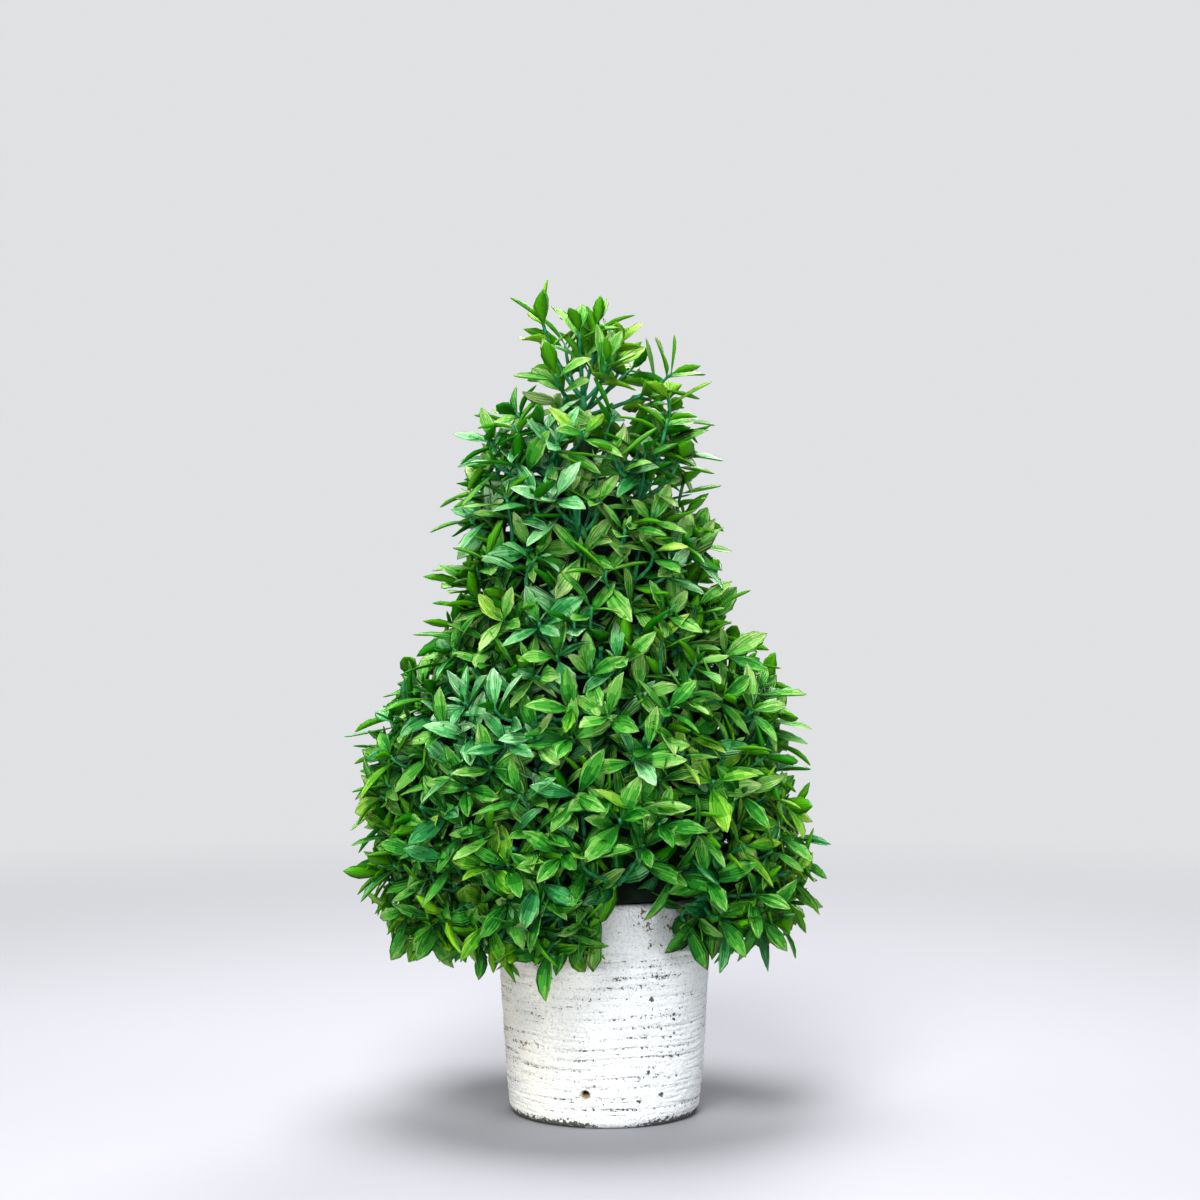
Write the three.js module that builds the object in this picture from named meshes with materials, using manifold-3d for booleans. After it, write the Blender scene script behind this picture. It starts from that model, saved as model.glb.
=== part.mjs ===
// Artificial cone topiary: a crown of moulded savory sprays on a hidden stem, in a whitewashed pot with
// turned rings. Units are millimetres, +Z is up, and the origin is the centre of the pot's flat underside.
// The front of the plant faces -Y.
import * as THREE from "three";
import { mergeVertices } from "three/addons/utils/BufferGeometryUtils.js";
import Module from "manifold-3d";

const wasm = await Module();
wasm.setup();

// Driving dimensions
const CLEAR = 0.3; // kept between neighbouring pieces
const POT = {
  height: 87,
  footRadius: 34.6, // of the flat underside
  heel: 3.2, // rounding from the underside to the wall
  shoulderZ: 59,
  shoulderRadius: 42.2, // the widest ring
  neckZ: 66,
  neckRadius: 40.1,
  bandRadius: 40.8, // the plain band between neck and rim bulges this far
  rimRound: 1.6,
  wall: 4.6,
  floor: 6,
  rings: 14,
  ringDepth: 0.6,
  swell: 0.85, // below 1, the wall leans out faster near its foot
  segments: 28,
};
const PIT = { radius: 1.7, depth: 2.6, z: 13.3, azimuth: -101.4 }; // blind pit in the pot's front, degrees
const FILL = { edgeZ: 78, topZ: 80, flatRadius: 7, clear: 0.45 };
const STEM = { footRadius: 5, tipRadius: 3.2, topZ: 272 };
const CROWN_X = -8.5; // the crown stands this far to the side of the pot's axis
const CROWN_TOP = 330;
const RIM_CLEAR = 1.2; // kept between leaves and the pot

// Matching stations of the crown's core and of its outline, as [radius, z], from under the skirt to the top
const CORE = [[50.5, POT.height + CLEAR], [57, 84.5], [65, 80], [73.5, 84], [78, 104], [76.5, 126], [72, 146],
  [64, 165], [52.5, 185], [43, 205], [38.5, 227], [33, 249], [22, 266]];
const OUTLINE = [[55, 60], [70, 56], [83, 64], [92, 82], [95.5, 109], [93.5, 136], [88.5, 158],
  [81, 180], [66, 203], [57, 227], [54.5, 250], [49, 275], [38, 294]];
const CORE_CAP = [[11, 272], [0, 273]];
const CORE_SEGMENTS = 18;

// The crown's masses, tier by tier. A tier is parted from the one above by a level cut through the core and,
// beyond the core, by a cone that rises at the given slope.
const TIERS = [
  { name: "lower", fromZ: 0, slope: 0, azimuth: -135, sides: ["front", "right", "back", "left"] },
  { name: "middle", fromZ: 148, slope: 1, azimuth: -150, sides: ["front", "back_right", "back_left"] },
  { name: "upper", fromZ: 208, slope: 1.6, azimuth: -160, sides: ["front", "back_right", "back_left"] },
];
const TUFT = { fromZ: 275, coneRadius: 5, slope: 0.6, stemRadius: 2.8, forkZ: 290 };

// The tuft's twigs: the height at which each leaves the leader, the point in the crown's own frame that its
// leaves reach, and the number of leaves round its tip
const TUFT_TWIGS = [
  { fromZ: 288, reach: [7, 2, 328], leaves: 4 },
  { fromZ: 286, reach: [-17, -4, 326], leaves: 4 },
  { fromZ: 287, reach: [-1, -14, 323], leaves: 3 },
  { fromZ: 285, reach: [21, -6, 317], leaves: 3 },
  { fromZ: 279, reach: [41, -6, 306], leaves: 4 },
  { fromZ: 283, reach: [-10, 20, 320], leaves: 3 },
  { fromZ: 281, reach: [20, 27, 308], leaves: 3 },
  { fromZ: 279, reach: [-14, 30, 301], leaves: 3 },
  { fromZ: 279, reach: [-15, -26, 300], leaves: 3 },
  { fromZ: 280, reach: [12, -32, 304], leaves: 3 },
];

// Sprays and leaves
const LEAF = { length: 25, width: 9.8, thick: 0.9, fold: 1.3, droop: 3.2, sink: 0.5, widest: 0.44 };
const TWIG = { rootRadius: 1.3, tipRadius: 1, sunk: 4 };
const JOINT = 1.5; // between neighbouring leaves along a twig
const SPRAYS = 77;
const BARE = { tries: 400, apart: 30 }; // a place this far from every spray gets one of its own
const SHIFTS = 14; // places tried for a spray, up to half of SHIFT_REACH away along the stations
const SHIFT_REACH = 0.12;
const ROSETTE = { leaves: 5, length: LEAF.length, spread: 60 };
const TUFT_ROSETTE = { length: LEAF.length * 0.8, spread: 46 };
const FEWEST_LEAVES = 4;
const HEART = { spread: 8, share: 0.8 }; // the leaf along the twig, and its share of the others' length
const SPREAD_VARIES = 22; // degrees, from the closest rosette to the widest
const LENGTH_VARIES = 0.22; // of a leaf's length
const REACH_SHARE = 0.72; // of a leaf's length, from the end of a twig to the crown's outline

const TAU = Math.PI * 2;
const GOLDEN = Math.PI * (3 - Math.sqrt(5));
const radians = THREE.MathUtils.degToRad;
const lerp = THREE.MathUtils.lerp;

// Repeatable random numbers from 0 to 1
function seeded(seed) {
  let state = seed >>> 0;
  return () => {
    state = (state + 0x6d2b79f5) >>> 0;
    let mixed = Math.imul(state ^ (state >>> 15), state | 1);
    mixed ^= mixed + Math.imul(mixed ^ (mixed >>> 7), mixed | 61);
    return ((mixed ^ (mixed >>> 14)) >>> 0) / 2 ** 32;
  };
}

// A closed geometry as a solid that can be cut and joined
function solidOf(geometry) {
  const bare = geometry.index ? geometry.toNonIndexed() : geometry.clone();
  bare.deleteAttribute("normal");
  bare.deleteAttribute("uv");
  const merged = mergeVertices(bare, 1e-4);
  return new wasm.Manifold(
    new wasm.Mesh({
      numProp: 3,
      vertProperties: merged.attributes.position.array,
      triVerts: new Uint32Array(merged.index.array),
    }),
  );
}

function geometryOf(solid) {
  const made = solid.getMesh();
  const geometry = new THREE.BufferGeometry();
  geometry.setAttribute("position", new THREE.BufferAttribute(new Float32Array(made.vertProperties), 3));
  geometry.setIndex(new THREE.BufferAttribute(new Uint32Array(made.triVerts), 1));
  geometry.computeVertexNormals();
  return geometry;
}

// A profile of [radius, z] points turned round the Z axis
function turned(profile, segments) {
  const points = profile.map(([radius, z]) => new THREE.Vector2(radius, z));
  return new THREE.LatheGeometry(points, segments).rotateX(Math.PI / 2);
}

// The point at share t along a list of [radius, z] stations
function along(stations, t) {
  const place = Math.min(Math.max(t, 0), 1) * (stations.length - 1);
  const low = Math.min(Math.floor(place), stations.length - 2);
  return [0, 1].map((k) => lerp(stations[low][k], stations[low + 1][k], place - low));
}

// The core's radius at height z
function coreRadius(z) {
  const above = CORE.findIndex((station) => station[1] >= z);
  if (above <= 0) return above === 0 ? CORE[0][0] : 0;
  const [low, high] = [CORE[above - 1], CORE[above]];
  return lerp(low[0], high[0], (z - low[1]) / (high[1] - low[1]));
}

// Pot, filling and stem

function bodyRadius(z) {
  const low = POT.footRadius + POT.heel;
  return lerp(low, POT.shoulderRadius, ((z - POT.heel) / (POT.shoulderZ - POT.heel)) ** POT.swell);
}

function innerRadius(z) {
  const share = (z - POT.floor) / (POT.height - POT.floor);
  return lerp(POT.footRadius + POT.heel, POT.bandRadius, share) - POT.wall;
}

// The pot's outer and inner line, from the middle of the underside round to the middle of the floor
function potProfile() {
  const heel = [35, 65].map(radians).map((angle) => [
    POT.footRadius + POT.heel * Math.sin(angle),
    POT.heel * (1 - Math.cos(angle)),
  ]);
  const pitch = (POT.shoulderZ - POT.heel) / POT.rings;
  const rings = Array.from({ length: POT.rings }, (_, ring) => {
    const [groove, crest] = [POT.heel + pitch * ring, POT.heel + pitch * (ring + 0.5)];
    return [
      [bodyRadius(groove) - POT.ringDepth / 2, groove],
      [bodyRadius(crest) + POT.ringDepth / 2, crest],
    ];
  });
  const rim = [
    [POT.bandRadius, (POT.neckZ + POT.height) / 2],
    [POT.bandRadius - 0.2 * POT.rimRound, POT.height - POT.rimRound],
    [POT.bandRadius - POT.rimRound, POT.height],
    [innerRadius(POT.height) + POT.rimRound / 2, POT.height],
    [innerRadius(POT.height), POT.height - POT.rimRound / 2],
  ];
  return [
    [0, 0],
    [POT.footRadius, 0],
    ...heel,
    ...rings.flat(),
    [POT.shoulderRadius, POT.shoulderZ],
    [POT.neckRadius, POT.neckZ],
    ...rim,
    [innerRadius(POT.floor), POT.floor],
    [0, POT.floor],
  ];
}

function potGeometry() {
  const wall = solidOf(turned(potProfile(), POT.segments));
  const pit = new THREE.CylinderGeometry(PIT.radius, PIT.radius, 2 * PIT.depth, 10).rotateZ(-Math.PI / 2);
  pit.translate(bodyRadius(PIT.z), 0, PIT.z).rotateZ(radians(PIT.azimuth));
  return geometryOf(wall.subtract(solidOf(pit)));
}

function fillGeometry() {
  const low = POT.floor + CLEAR;
  const side = (z) => innerRadius(z) - FILL.clear;
  const profile = [
    [0, low],
    [side(low), low],
    [side(FILL.edgeZ), FILL.edgeZ],
    [FILL.flatRadius, FILL.topZ],
    [0, FILL.topZ],
  ];
  return turned(profile, POT.segments);
}

// The stem leans from the pot's axis to the crown's. Grown by a margin, it is what the cores are cut with.
function stemGeometry(margin, topZ) {
  const fromZ = FILL.topZ + CLEAR;
  const share = (topZ - fromZ) / (STEM.topZ - fromZ);
  const topRadius = lerp(STEM.footRadius, STEM.tipRadius, share) + margin;
  const stem = new THREE.CylinderGeometry(topRadius, STEM.footRadius + margin, topZ - fromZ, 12);
  stem.rotateX(Math.PI / 2).translate(0, 0, (topZ + fromZ) / 2);
  const lean = (CROWN_X * share) / (topZ - fromZ);
  const place = stem.attributes.position;
  for (let i = 0; i < place.count; i++) place.setX(i, place.getX(i) + lean * (place.getZ(i) - fromZ));
  return stem;
}

// Spaces that the masses keep to, in the crown's own frame, whose Z axis is the crown's

function boundaryZ(tier, radius) {
  if (!tier) return TUFT.fromZ + Math.max(0, radius - TUFT.coneRadius) * TUFT.slope;
  return tier.fromZ + Math.max(0, radius - coreRadius(tier.fromZ)) * tier.slope;
}

function clearOfPot(point) {
  const radius = Math.hypot(point.x + CROWN_X, point.y);
  return point.z > POT.height + RIM_CLEAR || radius > POT.shoulderRadius + RIM_CLEAR;
}

// Whether a point of a tier's sector is at least a margin inside it
function inSector(tier, sector, point, margin) {
  const radius = Math.hypot(point.x, point.y);
  const next = TIERS[TIERS.indexOf(tier) + 1];
  if (point.z < boundaryZ(tier, radius) + margin || point.z > boundaryZ(next, radius) - margin) return false;
  const step = 360 / tier.sides.length;
  const [from, to] = [radians(tier.azimuth + step * sector), radians(tier.azimuth + step * (sector + 1))];
  const inFrom = point.y * Math.cos(from) - point.x * Math.sin(from);
  const inTo = point.x * Math.sin(to) - point.y * Math.cos(to);
  return inFrom > margin && inTo > margin && clearOfPot(point);
}

function inTuft(point, margin) {
  return point.z > boundaryZ(null, Math.hypot(point.x, point.y)) + margin && point.z < CROWN_TOP;
}

// Every corner of a geometry, and points a quarter of the way apart along every edge, lie in the space
function liesIn(space, geometry) {
  const place = geometry.attributes.position;
  const corner = (i) => new THREE.Vector3().fromBufferAttribute(place, i);
  for (let i = 0; i < place.count; i += 3) {
    const [a, b, c] = [corner(i), corner(i + 1), corner(i + 2)];
    const edges = [[a, b], [b, c], [c, a]];
    const points = edges.flatMap(([from, to]) => [0, 0.25, 0.5, 0.75].map((t) => from.clone().lerp(to, t)));
    if (!points.every(space)) return false;
  }
  return true;
}

// Leaves and twigs

// A leaf of eight faces whose root is at the origin and whose blade runs along +X, with its face up
function leafShape(length) {
  const leaf = new THREE.OctahedronGeometry(1);
  const place = leaf.attributes.position;
  const scale = length / LEAF.length;
  for (let i = 0; i < place.count; i++) {
    const [x, y, z] = [place.getX(i), place.getY(i), place.getZ(i)];
    if (x > 0.5) place.setXYZ(i, length, 0, -LEAF.droop * scale);
    else if (x < -0.5) place.setXYZ(i, -LEAF.sink, 0, 0);
    else {
      const raised = Math.abs(y) * LEAF.fold * scale;
      place.setXYZ(i, LEAF.widest * length, y * 0.5 * LEAF.width * scale, z * 0.5 * LEAF.thick + raised);
    }
  }
  return leaf;
}

// Axes for a leaf or twig that leans from a direction by an angle, at a roll round it. X runs along the leaf.
function leaningAxes(direction, roll, spread) {
  const up = Math.abs(direction.z) > 0.95 ? new THREE.Vector3(1, 0, 0) : new THREE.Vector3(0, 0, 1);
  const side = new THREE.Vector3().crossVectors(up, direction).normalize();
  const out = side.applyAxisAngle(direction, roll);
  const blade = direction.clone().multiplyScalar(Math.cos(spread)).addScaledVector(out, Math.sin(spread));
  const face = direction.clone().multiplyScalar(Math.sin(spread)).addScaledVector(out, -Math.cos(spread));
  return new THREE.Matrix4().makeBasis(blade, new THREE.Vector3().crossVectors(face, blade), face);
}

// A piece of a mass: its solid, and the box round it that finds its neighbours
function pieceOf(geometry) {
  geometry.computeBoundingBox();
  return { solid: solidOf(geometry), box: geometry.boundingBox };
}

function crossesAny(piece, others) {
  return others.some(({ solid, box }) => box.intersectsBox(piece.box) && piece.solid.intersect(solid).numTri());
}

// The first leaf at this joint that keeps to its space, and clear of the other sprays, as it is turned and
// folded forwards, or nothing
function fittedLeaf(mass, at, direction, roll, spread, length) {
  for (const close of [1, 0.75, 0.5, 0.25]) {
    for (const turn of [0, 14, -14, 28, -28]) {
      const axes = leaningAxes(direction, roll + radians(turn), spread * close).setPosition(at);
      const leaf = leafShape(length).applyMatrix4(axes);
      if (!liesIn(mass.space, leaf)) continue;
      const piece = pieceOf(leaf);
      if (!crossesAny(piece, mass.pieces)) return piece;
    }
  }
  return null;
}

// A three-sided tapering twig between two points
function twigShape(from, to, rootRadius, tipRadius) {
  const run = new THREE.Vector3().subVectors(to, from);
  const twig = new THREE.CylinderGeometry(tipRadius, rootRadius, run.length(), 3);
  twig.translate(0, run.length() / 2, 0);
  const turn = new THREE.Quaternion().setFromUnitVectors(new THREE.Vector3(0, 1, 0), run.normalize());
  return twig.applyQuaternion(turn).translate(from.x, from.y, from.z).toNonIndexed();
}

// The leaves round a twig's tip: one along the twig and the others a joint apart below it
function rosette(mass, tip, direction, { leaves, length, spread }, random) {
  const first = random() * TAU;
  const found = [];
  for (let i = 0; i < leaves; i++) {
    const at = tip.clone().addScaledVector(direction, -JOINT * (i + 0.6));
    const roll = first + (TAU * i) / leaves + (random() - 0.5) * 0.4;
    const open = radians(spread + (random() - 0.5) * SPREAD_VARIES);
    const size = length * (0.9 + LENGTH_VARIES * random());
    found.push(fittedLeaf(mass, at, direction, roll, open, size));
  }
  const heart = tip.clone().addScaledVector(direction, -LEAF.sink);
  found.push(fittedLeaf(mass, heart, direction, first, radians(HEART.spread), length * HEART.share));
  return found.filter(Boolean);
}

// One spray: a twig with a rosette at its tip, or nothing if the twig won't fit
function spray(mass, root, tip, random) {
  const direction = new THREE.Vector3().subVectors(tip, root).normalize();
  const main = twigShape(root, tip, TWIG.rootRadius, TWIG.tipRadius);
  if (!liesIn(mass.space, main)) return [];
  return [pieceOf(main), ...rosette(mass, tip, direction, ROSETTE, random)];
}

// Everything joined into one solid: sealed hollows are filled and loose scraps dropped
function fused(solids) {
  const joined = wasm.Manifold.union(solids).simplify(0.02);
  const bodies = joined.decompose().sort((a, b) => b.volume() - a.volume());
  return bodies[0];
}

// Masses

// The part of the crown's core that lies in one sector of a tier, cut clear of its neighbours and the stem
function corePart(tier, sector, core, hollow) {
  const next = TIERS[TIERS.indexOf(tier) + 1];
  const step = radians(360 / tier.sides.length);
  const middle = radians(tier.azimuth) + step * (sector + 0.5);
  const rays = [-step / 2, 0, step / 2].map(
    (angle) => new THREE.Vector2(CROWN_TOP * Math.cos(angle), CROWN_TOP * Math.sin(angle)),
  );
  const wedge = new THREE.Shape([new THREE.Vector2(0, 0), ...rays]);
  const [low, high] = [tier.fromZ + CLEAR / 2, (next ? next.fromZ : CROWN_TOP) - CLEAR / 2];
  const block = new THREE.ExtrudeGeometry(wedge, { depth: high - low, bevelEnabled: false });
  block.translate(CLEAR / 2 / Math.sin(step / 2), 0, low).rotateZ(middle);
  return core.intersect(solidOf(block)).subtract(hollow);
}

function crownMasses() {
  const hollow = solidOf(stemGeometry(CLEAR, TUFT.forkZ).translate(-CROWN_X, 0, 0));
  const core = solidOf(turned([[0, CORE[0][1]], ...CORE, ...CORE_CAP], CORE_SEGMENTS));
  const masses = TIERS.flatMap((tier) =>
    tier.sides.map((side, sector) => ({
      name: `foliage_${tier.name}_${side}`,
      space: (point) => inSector(tier, sector, point, CLEAR),
      core: corePart(tier, sector, core, hollow),
      pieces: [],
    })),
  );
  const random = seeded(20261);
  const tips = [];
  for (let i = 0; i < SPRAYS; i++) {
    const t = sprayShare((i + 0.5) / SPRAYS);
    for (let attempt = 0; attempt < SHIFTS; attempt++) {
      const shift = (SHIFT_REACH * (random() - 0.5) * attempt) / SHIFTS;
      if (addSpray(masses, tips, t + shift, i * GOLDEN + shift * 2, random)) break;
    }
  }
  for (let i = 0; i < BARE.tries; i++) {
    const [t, azimuth] = [sprayShare(random()), random() * TAU];
    const { tip } = sprayEnds(t, azimuth, 0, 0);
    const bare = tips.every((other) => other.distanceTo(tip) > BARE.apart);
    if (bare) addSpray(masses, tips, t, azimuth, random);
  }
  return masses.map(({ name, core, pieces }) => ({
    name,
    solid: fused([core, ...pieces.map((piece) => piece.solid)]),
  }));
}

// Grows one spray in the mass whose space it lies in, and says whether it found room for most of its leaves
function addSpray(masses, tips, t, azimuth, random) {
  const { root, tip } = sprayEnds(t, azimuth, (random() - 0.5) * 0.02, (random() - 0.5) * 0.08);
  const mass = masses.find(({ space }) => space(tip) && space(root));
  if (!mass) return false;
  const made = spray(mass, root, tip, random);
  if (made.length < 1 + FEWEST_LEAVES) return false;
  mass.pieces.push(...made);
  tips.push(tip);
  return true;
}

function crownPoint([radius, z], azimuth) {
  return new THREE.Vector3(radius * Math.cos(azimuth), radius * Math.sin(azimuth), z);
}

// Where a spray leaves the core, and where its twig ends so that its leaves reach the outline
function sprayEnds(t, azimuth, slip, swing) {
  const from = crownPoint(along(CORE, t), azimuth);
  const goal = crownPoint(along(OUTLINE, t + slip), azimuth + swing);
  const direction = goal.clone().sub(from).normalize();
  const tip = goal.clone().addScaledVector(direction, -REACH_SHARE * LEAF.length);
  return { root: from.addScaledVector(direction, -TWIG.sunk), tip };
}

// The share along the stations below which a given share of the outline's area lies, so that sprays are even
function sprayShare(area) {
  const steps = 240;
  const band = (k) => {
    const [low, high] = [along(OUTLINE, k / steps), along(OUTLINE, (k + 1) / steps)];
    return (low[0] + high[0]) * Math.hypot(high[0] - low[0], high[1] - low[1]);
  };
  const bands = Array.from({ length: steps }, (_, k) => band(k));
  let left = area * bands.reduce((sum, value) => sum + value, 0);
  const found = bands.findIndex((value) => (left -= value) <= 0);
  return (found < 0 ? steps : found) / steps;
}

// The open tuft above the stem: a short leader that forks into leafy twigs, with sky between them
function tuftSolid() {
  const random = seeded(77);
  const mass = { space: (point) => inTuft(point, CLEAR), pieces: [] };
  const [footZ, forkZ] = [STEM.topZ + CLEAR, TUFT.forkZ];
  const leader = new THREE.CylinderGeometry(TWIG.rootRadius, TUFT.stemRadius, forkZ - footZ, 8);
  leader.rotateX(Math.PI / 2).translate(0, 0, (forkZ + footZ) / 2);
  TUFT_TWIGS.forEach(({ fromZ, reach, leaves }) => {
    const [root, goal] = [new THREE.Vector3(0, 0, fromZ), new THREE.Vector3(...reach)];
    const direction = goal.clone().sub(root).normalize();
    const tip = goal.clone().addScaledVector(direction, -REACH_SHARE * TUFT_ROSETTE.length);
    mass.pieces.push(...leafyTwig(mass, root, tip, leaves, random));
  });
  return fused([solidOf(leader), ...mass.pieces.map(({ solid }) => solid)]);
}

// A spray with another pair of leaves half way up its twig
function leafyTwig(mass, root, tip, leaves, random) {
  const direction = new THREE.Vector3().subVectors(tip, root).normalize();
  const roll = random() * TAU;
  const pair = [0, 1].map((k) => {
    const at = root.clone().lerp(tip, 0.5 + 0.12 * k);
    const spread = radians(TUFT_ROSETTE.spread);
    return fittedLeaf(mass, at, direction, roll + Math.PI * k, spread, TUFT_ROSETTE.length);
  });
  const twig = pieceOf(twigShape(root, tip, TWIG.rootRadius, TWIG.tipRadius));
  const form = { ...TUFT_ROSETTE, leaves };
  return [twig, ...pair.filter(Boolean), ...rosette(mass, tip, direction, form, random)];
}

// Materials

const finish = (color, roughness) => new THREE.MeshStandardMaterial({ color, roughness, metalness: 0 });
const WHITEWASH = finish(0xe4e2da, 0.9);
const PACKING = finish(0x2b2620, 0.95);
const STALK = finish(0x1f5a2e, 0.6);
const LEAF_GREENS = [finish(0x2e7d32, 0.55), finish(0x3b8a36, 0.55), finish(0x25703a, 0.55)];

function named(name, geometry, material) {
  const mesh = new THREE.Mesh(geometry, material);
  mesh.name = name;
  return mesh;
}

const topiary = new THREE.Group();
topiary.name = "topiary";
topiary.add(named("pot", potGeometry(), WHITEWASH));
topiary.add(named("pot_filling", fillGeometry(), PACKING));
topiary.add(named("stem", stemGeometry(0, STEM.topZ), STALK));

const crown = new THREE.Group();
crown.position.set(CROWN_X, 0, 0);
crownMasses().forEach(({ name, solid }, i) => crown.add(named(name, geometryOf(solid), LEAF_GREENS[i % 3])));
crown.add(named("foliage_top", geometryOf(tuftSolid()), LEAF_GREENS[0]));
topiary.add(crown);

export default topiary;
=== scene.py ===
# The looks of an artificial cone topiary in a whitewashed pot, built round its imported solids. Lengths are in
# millimetres until a mesh is made. +Z is up and the front of the plant faces -Y.
import math
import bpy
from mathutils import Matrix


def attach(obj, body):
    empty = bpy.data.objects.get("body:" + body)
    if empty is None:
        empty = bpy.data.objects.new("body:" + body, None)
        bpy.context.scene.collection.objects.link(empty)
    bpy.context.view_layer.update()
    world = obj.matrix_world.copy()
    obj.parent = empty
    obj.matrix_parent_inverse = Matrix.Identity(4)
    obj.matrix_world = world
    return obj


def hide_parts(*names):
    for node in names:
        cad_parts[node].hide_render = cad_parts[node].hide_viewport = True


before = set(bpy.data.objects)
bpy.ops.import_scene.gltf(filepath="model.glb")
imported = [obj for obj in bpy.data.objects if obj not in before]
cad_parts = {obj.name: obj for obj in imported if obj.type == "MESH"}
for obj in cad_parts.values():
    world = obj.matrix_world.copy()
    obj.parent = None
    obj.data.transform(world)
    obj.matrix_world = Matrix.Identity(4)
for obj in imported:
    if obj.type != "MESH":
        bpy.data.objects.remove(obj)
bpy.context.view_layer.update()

from types import SimpleNamespace as Values

import bpy
import numpy as np
from mathutils import Vector

MM = 0.001
TAU = 2 * math.pi
GOLDEN = math.pi * (3 - math.sqrt(5))

# Sizes that the solids are built from
POT = Values(height=87, foot_radius=34.6, heel=3.2, shoulder_z=59, shoulder_radius=42.2, neck_z=66,
             neck_radius=40.1, band_radius=40.8, rim_round=1.6, wall=4.6, floor=6, rings=14, swell=0.85)
PIT = Values(radius=1.7, depth=2.6, z=13.3, azimuth=-101.4)
FILL = Values(edge_z=78, top_z=80, clear=0.45)
STEM = Values(foot_radius=5, tip_radius=3.2, foot_z=80.3, top_z=272)
CROWN_X = -8.5
CORE = np.array([[50.5, 87.3], [57, 84.5], [65, 80], [73.5, 84], [78, 104], [76.5, 126], [72, 146],
                 [64, 165], [52.5, 185], [43, 205], [38.5, 227], [33, 249], [22, 266]], float)
OUTLINE = np.array([[55, 60], [70, 56], [83, 64], [92, 82], [95.5, 109], [93.5, 136], [88.5, 158],
                    [81, 180], [66, 203], [57, 227], [54.5, 250], [49, 275], [38, 294]], float)
TIERS = [
    Values(name="lower", from_z=0, slope=0, azimuth=-135, sides=["front", "right", "back", "left"]),
    Values(name="middle", from_z=148, slope=1, azimuth=-150, sides=["front", "back_right", "back_left"]),
    Values(name="upper", from_z=208, slope=1.6, azimuth=-160, sides=["front", "back_right", "back_left"]),
]
TUFT = Values(from_z=275, cone_radius=5, slope=0.6, fork_z=290)
SPRAYS = 77

# The tuft's twigs: the height at which each leaves the leader, and the point that its leaves reach
TUFT_TWIGS = [(288, [7, 2, 325]), (286, [-21, -4, 326]), (287, [-2, -14, 321]), (285, [20, -6, 315]),
              (279, [44, -6, 300]), (283, [-10, 20, 318]), (281, [20, 27, 308]), (279, [-14, 30, 301]),
              (279, [-15, -26, 300]), (280, [12, -32, 304])]

# Finer growth than the solids have: a leaf, how far leaves reach past their twigs, and the twigs by number
LEAF = Values(length=19.2, width=6.9, thick=0.5, midrib=0.2)
LEAF_REACH = 0.7 * LEAF.length
TUFT_REACH = 0.5 * LEAF.length
TWIGS = 480
INNER_TWIGS = 300

# Where the skirt parts and shows the pot's rim, and the most of a leaf that may hang across it
PARTING = Values(from_azimuth=-92, to_azimuth=-58, below=88, twigs_below=98, most_across=0.3)

# Leaves stay this far off the pot's wall and rim, and above the lowest height. Those that don't are rolled by
# up to the given angle and have their spread scaled, for as many tries
KEEP_OFF = Values(wall=0.5, rim=0.6, above_neck=2, lowest=51, tries=6, roll=1.2, spread=(0.5, 1.1))

# Places where the sprays reach further than the outline, or less far: x, z, spread and the step in reach
REACH_PLACES = [(96, 84, 28, 9), (46, 286, 12, 13), (46, 263, 12, -9), (-44, 284, 20, 2), (-84, 150, 14, 8),
                (82, 170, 16, 7), (60, 216, 14, -5), (-64, 213, 14, -5), (-42, 56, 14, 5)]

random = np.random.default_rng(20261)


# Arrays of vectors

AREA_STEPS = 241
NEARLY_UPRIGHT = Values(leaf=0.95, tube=0.8)  # the upward part of a heading from which X stands in for up


def unit(vectors):
    return vectors / np.maximum(np.linalg.norm(vectors, axis=-1, keepdims=True), 1e-9)


def vary(count, low, high):
    return random.uniform(low, high, count)


def along(stations, t):
    """The [radius, z] at shares t along a list of stations."""
    place = np.clip(t, 0, 1) * (len(stations) - 1)
    index = np.arange(len(stations))
    return np.stack([np.interp(place, index, stations[:, k]) for k in (0, 1)], axis=-1)


def around(columns):
    """The azimuths of the columns of a turned form."""
    return np.arange(columns) * TAU / columns


def crown_points(stations, azimuth):
    return np.stack([stations[..., 0] * np.cos(azimuth), stations[..., 0] * np.sin(azimuth),
                     stations[..., 1]], axis=-1)


def spray_shares(areas):
    """Shares along the stations below which the given shares of the outline's area lie."""
    steps = np.linspace(0, 1, AREA_STEPS)
    line = along(OUTLINE, steps)
    step = np.diff(line, axis=0)
    bands = (line[:-1, 0] + line[1:, 0]) * np.hypot(step[:, 0], step[:, 1])
    reached = np.concatenate([[0], np.cumsum(bands)]) / bands.sum()
    return np.interp(areas, reached, steps)


def leaning_axes(direction, roll, spread):
    """Axes of leaves that lean from a direction by an angle, at a roll round it: blade, side and face."""
    upright = np.abs(direction[:, 2:3]) > NEARLY_UPRIGHT.leaf
    up = np.where(upright, [1.0, 0, 0], [0, 0, 1.0])
    side = unit(np.cross(up, direction))
    out = side * np.cos(roll)[:, None] + np.cross(direction, side) * np.sin(roll)[:, None]
    blade = direction * np.cos(spread)[:, None] + out * np.sin(spread)[:, None]
    face = direction * np.sin(spread)[:, None] - out * np.cos(spread)[:, None]
    return blade, np.cross(face, blade), face


def ripple(azimuth, z, seed, rise=0.02):
    """A smooth uneven field round a turned form, from about -1 to 1, from a few seeded waves."""
    waves, most_turns = 6, 6
    seeded = np.random.default_rng(seed)
    total = np.zeros(np.broadcast(azimuth, z).shape)
    for _ in range(waves):
        turns = seeded.integers(1, most_turns + 1)
        total += np.sin(turns * azimuth + seeded.uniform(0, TAU) + z * seeded.uniform(-rise, rise) * TAU)
    return total / math.sqrt(waves)


# Meshes

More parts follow.
